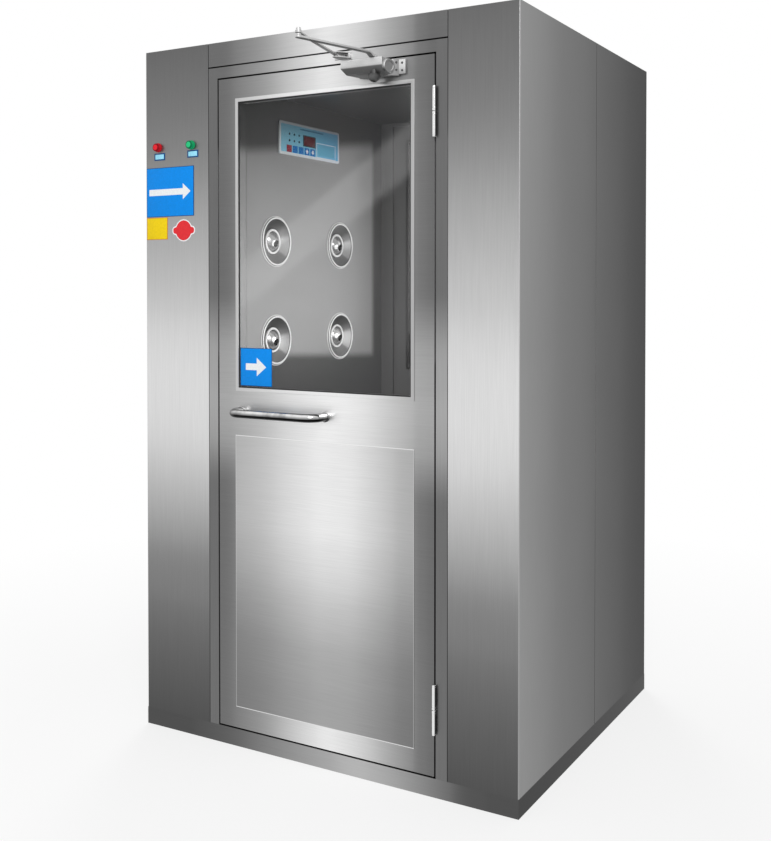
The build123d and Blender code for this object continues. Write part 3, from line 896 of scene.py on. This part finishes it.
def makeNozzles():
    cup = spun("nozzle_cup_model", [(86.5, 0), (86.5, 2), (85.7, 2.8), (82.6, 3.2), (82, 5.4), (81, 6.6),
                                    (77.4, 6.8), (76, 5.4), (74.4, 2.6), (45.6, -13), (43.4, -14),
                                    (42.5, -13.6), (42.5, -11), (41.8, -10.2), (40.6, -9.8), (37.2, -9.8),
                                    (36, -10.2), (34.9, -11.4), (34.8, -36), (37.8, -36), (37.8, -17),
                                    (77, 0)], 56)
    ball = spun("nozzle_ball_model", [(19, -17.5), *circlePoints(nozzle["ballRadius"], -30, 68, 7),
                                      (12.6, 32.6), (11.9, 32.5), (11.2, 31.6), (12.5, 22), (16.5, 0),
                                      (19, -17.5)], 48)
    placed(ball, (0, 0, -nozzle["ballDepth"]), Matrix.Rotation(math.radians(nozzle["tilt"]), 4, "Y"))
    cups, balls = [], []
    for x, side in nozzle["walls"]:
        turn = Matrix.Rotation(side * math.pi / 2, 4, "Y")
        if side < 0:
            turn = turn @ Matrix.Rotation(math.pi, 4, "Z")
        for y in nozzle["y"]:
            for z in nozzle["z"]:
                where = Matrix.Translation(Vector((x, y, z)) * mm) @ turn
                cups.append(copied(cup, "nozzle_cup_copy", where))
                balls.append(copied(ball, "nozzle_ball_copy", where))
    bpy.data.objects.remove(cup)
    bpy.data.objects.remove(ball)
    return joined("nozzle_dishes", cups), joined("nozzle_aim_balls", balls)


dishes, balls = makeNozzles()
finished(dishes, spunSteel(), "root", "nozzle_steel", "nozzle_cups")
finished(balls, polishedBall(), "root", "nozzle_chrome", "nozzle_balls", angle=50)
print("nozzles made")

# ---- control panel: everything sits on its face and is read along Y

panel = {"face": -389.0, "y": (-186.5, 186.5), "z": (1869.0, 1981.0), "keyLeft": 0.11, "keyStep": 0.096,
         "keyWide": 0.08, "keyDown": (0.70, 0.92), "dotsAcross": (0.155, 0.232, 0.31), "dotsDown": (0.36, 0.56)}


def panelFace(name, across, top):
    # printed membrane over the controls, with painted light from below that fades into painted shade towards its
    # top edge
    look = newMaterial(name, roughness=0.3, Specular_IOR_Level=0.15)
    fade = toneRamp(look, look.at["Z"], [(1869, 255), (1900, 240), (1981, top)], "LINEAR")
    tone = look.add("Mix", 1.0, toneRamp(look, look.at["Y"], across), fade, **multiplied)
    mottle = mottled(look, 8, 3.0).node.outputs["Color"]
    plug(look.shader, Base_Color=look.add("Mix", 0.05, tone, mottle, **overlaid))
    return look.material


def panelPoint(across, down, lift):
    # across and down are shares of the panel's width and height
    (y0, y1), (z0, z1) = panel["y"], panel["z"]
    return panel["face"] + lift, y0 + across * (y1 - y0), z1 - down * (z1 - z0)


def panelItem(name, across, down, height, material, edge=0.4):
    piece = plate(name, panelPoint(across[0], down[1], -0.5), panelPoint(across[1], down[0], height), edge)
    finished(piece, material, "root", "control_face")


dressed("control_panel", panelFace("white_panel_bezel", [(-187, "#e8f0f2"), (187, "#f0f6ff")], 140))
membrane = panelFace("printed_control_membrane", [(-187, "#92d2ea"), (-40, "#84d2f0"), (187, "#74c6f4")], 158)
paper = printed("white_print", "#f4f7f9")
panelItem("control_membrane", (0.024, 0.976), (0.075, 0.925), 0.6, membrane)
panelItem("control_display_frame", (0.375, 0.585), (0.31, 0.66), 1.2, printed("dark_display_frame", "#162630"))
panelItem("control_display", (0.392, 0.568), (0.345, 0.625), 1.6, printed("dark_red_display", "#58141c", 0.15))
keyLefts = [panel["keyLeft"] + panel["keyStep"] * i for i in range(5)]
keyBlue = printed("blue_membrane_key", "#1878c4")
for i, material in enumerate([printed("red_membrane_key", "#98303e")] + [keyBlue] * 4):
    panelItem(f"control_key_{i + 1}", (keyLefts[i], keyLefts[i] + panel["keyWide"]), panel["keyDown"], 1.4,
              material, 0.9)
for rise, left, name in ((1, keyLefts[3], "up"), (-1, keyLefts[4], "down")):
    x, y, z = panelPoint(left + panel["keyWide"] / 2, sum(panel["keyDown"]) / 2, 1.2)
    arrow = drawn(f"key_arrow_{name}", [(x, y + dy, z + rise * dz) for dy, dz in
                                        ((-9, -1), (0, 8), (9, -1), (4, -1), (4, -7), (-4, -7), (-4, -1))],
                  (0.6, 0, 0), 0)
    finished(arrow, paper, "root", "control_face")
dots = copiesAt(spun("indicator_model", [(4, -0.4), (4, 0.8), (3.4, 1.4), (2, 1.8), (0, 2.0)], 16),
                [panelPoint(column, row, 0.6) for column in panel["dotsAcross"] for row in panel["dotsDown"]],
                alongX)
finished(joined("control_indicators", dots), printed("dark_indicator", "#1c2c38", 0.2), "root", "control_face")
for name, across, down in (("top", (0.60, 0.93), (0.47, 0.485)), ("bottom", (0.60, 0.93), (0.915, 0.93)),
                           ("left", (0.60, 0.606), (0.47, 0.93)), ("right", (0.924, 0.93), (0.47, 0.93))):
    panelItem(f"control_outline_{name}", across, down, 0.9, paper, 0.1)
panelItem("control_outline_fill", (0.625, 0.905), (0.54, 0.86), 0.8, printed("pale_blue_print", "#6cb8d8"), 0.1)
panelItem("control_title_bar", (0.33, 0.72), (0.13, 0.175), 0.8, printed("mid_blue_print", "#34647e"), 0.1)
print("control panel made")

# ---- pilot lamps

lamp = {"height": 1858.0, "red": (-598.0, ("#ec2c38", "#8c0a16", "#c81a28")),
        "green": (-462.0, ("#30cc86", "#0a7048", "#1aa86a"))}


def lensMaterial(name, centreX, tones):
    # moulded polycarbonate lens over a ribbed face: bright in the middle, painted shade in the ring over the
    # rounded shoulder, and a lighter painted sheen on the side
    look = newMaterial(name, roughness=0.22, Specular_IOR_Level=0.08)
    radius = radiusOf(look, look.add("Math", look.at["X"], centreX * mm, **minus),
                      look.add("Math", look.at["Z"], lamp["height"] * mm, **minus))
    middle, ring, rim = tones
    plug(look.shader, Base_Color=toneRamp(look, radius, [(0, middle), (8.2, middle), (9.2, ring), (12.4, ring),
                                                         (12.9, rim), (14.5, rim)], "LINEAR"))
    return look.material


def makeLamps(name, x):
    # the lamp at the entrance and its mirror image at the exit, in one piece
    lens = spun(name, [(14.5, 0), (14.5, 2.8), (13.9, 3.8), (13.1, 4.0), (12.9, 4.6), (12.9, 11.4),
                       (12.3, 13.6), (10.9, 15.0), (9.6, 15.4), (9.0, 15.0), (8.4, 15.2), (5.0, 15.8),
                       (0, 16.0)], 40)
    placed(lens, (x, frontY, lamp["height"]), faceOut)
    return joined(name, [lens, copied(lens, name + "_rear", mirrorY)])


for name in ("red", "green"):
    x, tones = lamp[name]
    finished(makeLamps(f"{name}_pilot_lamps", x), lensMaterial(f"{name}_lamp_lens", x, tones), "root",
             f"{name}_lens", f"pilot_lamps_{name}")
print("pilot lamps made")

# ---- signs: bare plates and plain arrows in place of the lettering


def sign(name, x, z, material, proud, base=0.0, part="root", slot="brushed_panel", edge=0.3):
    piece = plate(name, (x[0], frontY - base - proud, z[0]), (x[1], frontY - base, z[1]), edge)
    bothEnds(piece, material, part, slot)


def arrowSign(name, x, z, base, part="root", slot="brushed_panel", proud=0.4, shaft=20):
    # an arrow pointing along +X that fills the box x by z
    middle, half, neck = (z[0] + z[1]) / 2, (z[1] - z[0]) / 2, x[1] - (z[1] - z[0]) * 0.62
    outline = [(x[0], middle - shaft / 2), (neck, middle - shaft / 2), (neck, middle - half), (x[1], middle),
               (neck, middle + half), (neck, middle + shaft / 2), (x[0], middle + shaft / 2)]
    bothEnds(drawn(name, [(px, frontY - base, pz) for px, pz in outline], (0, -proud, 0), 0), paper, part, slot)


def roundel(name, radius, band, reach, travel, base, material):
    # a disc with a wider band across its middle
    x, z = -494, 1592
    outline = []
    dip = math.degrees(math.asin(band / radius))
    for first in (0, 180):
        for step in range(9):
            a = math.radians(first + dip + step * (180 - 2 * dip) / 8)
            outline.append((x + radius * math.cos(a), frontY - base, z + radius * math.sin(a)))
        turn = math.pi + math.radians(first)
        for step in (-50, -20, 20, 50):
            a = turn + math.radians(step)
            outline.append((x + math.copysign(reach - band, math.cos(turn)) + band * math.cos(a),
                            frontY - base, z + band * math.sin(a)))
    bothEnds(drawn(name, outline, (0, -travel, 0), 0), material, "root", "brushed_panel")


brightBlue, darkBlue = printed("bright_blue_vinyl", "#1490f0"), printed("dark_blue_vinyl", "#1d4f86")
lightBlue = printed("light_blue_vinyl", "#a0e6ff")
sign("sign_back", (-647, -452), (1637, 1794), darkBlue, 0.8)
sign("sign_face", (-645, -454), (1639, 1792), brightBlue, 0.5, 0.8)
arrowSign("sign_arrow", (-635, -465), (1690, 1740), 1.3)
for side, x, z in (("left", (-614, -570), (1817, 1840)), ("right", (-478, -434), (1819, 1842))):
    sign(f"lamp_label_back_{side}", x, z, darkBlue, 0.8)
    sign(f"lamp_label_{side}", (x[0] + 4.5, x[1] - 4.5), (z[0] + 4, z[1] - 4), lightBlue, 0.4, 0.8)
sign("sticker_back", (-647, -560), (1565, 1635), printed("orange_vinyl", "#d88a1c"), 0.5)
sign("sticker_face", (-645, -562), (1567, 1633), printed("yellow_vinyl", "#f7d61e"), 0.3, 0.5)
roundel("roundel_back", 35, 15, 47, 0.5, 0, paper)
roundel("roundel_face", 31.5, 11, 43, 0.3, 0.5, printed("red_vinyl", "#e8383e"))

# the plain arrow square inside the corner of the window glass
onGlass = -window["glassDepth"]
sign("window_square_back", (-273, -154), (1112, 1228), darkBlue, 0.4, onGlass, "door", "window_glass", 0.15)
sign("window_square", (-271, -156), (1114, 1226), brightBlue, 0.4, onGlass + 0.3, "door", "window_glass", 0.15)
arrowSign("window_arrow", (-252, -176), (1143, 1199), onGlass + 0.7, "door", "window_glass", 0.3)
print("signs made")

# ---- floor, light and camera


def makeFloor():
    floor = started("studio_floor", bpy.ops.mesh.primitive_circle_add, vertices=96, radius=14, fill_type="NGON",
                    location=(0, 0, -0.0005))
    look = newMaterial("pale_studio_floor", roughness=0.8, Base_Color="#f2f2f2")
    away = look.add("VectorMath", look.place, operation="LENGTH")
    rays = look.add("LightPath").node.outputs
    seen = look.add("Math", rays["Is Camera Ray"], look.add("MapRange", away, 1.2, 3.0, 0.75, 1.0), **times)
    seen = look.add("Math", seen, rays["Is Glossy Ray"], **larger)
    white = look.add("Emission", (1, 1, 1, 1), 1.0)
    mixed = look.add("MixShader", seen, look.shader.outputs[0], white)
    plug(look.material.node_tree.nodes["Material Output"], Surface=mixed)
    applied(floor).data.materials.append(look.material)


def makeWorld():
    world = bpy.data.worlds.new("studio_world")
    bpy.context.scene.world = world
    world.use_nodes = True
    add = partial(addNode, world.node_tree)
    rays = add("LightPath").node.outputs
    mirrored = add("Math", rays["Is Glossy Ray"], rays["Is Transmission Ray"], **larger)
    direct = add("Math", rays["Is Camera Ray"], mirrored, **larger)
    plug(world.node_tree.nodes["Background"], Color=(1, 1, 1, 1),
         Strength=add("MapRange", direct, To_Min=0.6, To_Max=1.0))


def addLamp(name, location, target, size, power):
    data = bpy.data.lights.new(name, "AREA")
    data.shape = "DISK"
    data.size = size
    data.energy = power
    lampObject = bpy.data.objects.new(name, data)
    bpy.context.scene.collection.objects.link(lampObject)
    lampObject.location = location
    lampObject.rotation_euler = (Vector(target) - Vector(location)).to_track_quat("-Z", "Y").to_euler()


def makeCamera():
    # the photograph's frame is 771 by 841 points, and its focal length 1095.6 points
    frameHeight, focal, horizonShift = 841, 1095.6, -110.7
    data = bpy.data.cameras.new("photo_camera")
    data.sensor_width = 36
    data.lens = focal / frameHeight * data.sensor_width
    data.shift_y = horizonShift / frameHeight
    camera = bpy.data.objects.new("photo_camera", data)
    bpy.context.scene.collection.objects.link(camera)
    camera.location = (1.796, -3.219, 1.402)
    camera.rotation_euler = (math.radians(89.0), 0, math.radians(30.26))
    bpy.context.scene.camera = camera


makeFloor()
makeWorld()
addLamp("key_lamp", (2.6, -4.2, 4.2), (0, 0, 1.1), 2.4, 120)
addLamp("rear_fill", (-2.6, 4.2, 4.0), (0, 0, 1.1), 2.4, 100)
addLamp("cabin_lamp", (0.43, 0.0, 1.25), (-0.4, 0.0, 1.25), 0.9, 7)
makeCamera()
bpy.context.scene.view_settings.view_transform = "Standard"
print("floor, light and camera set")
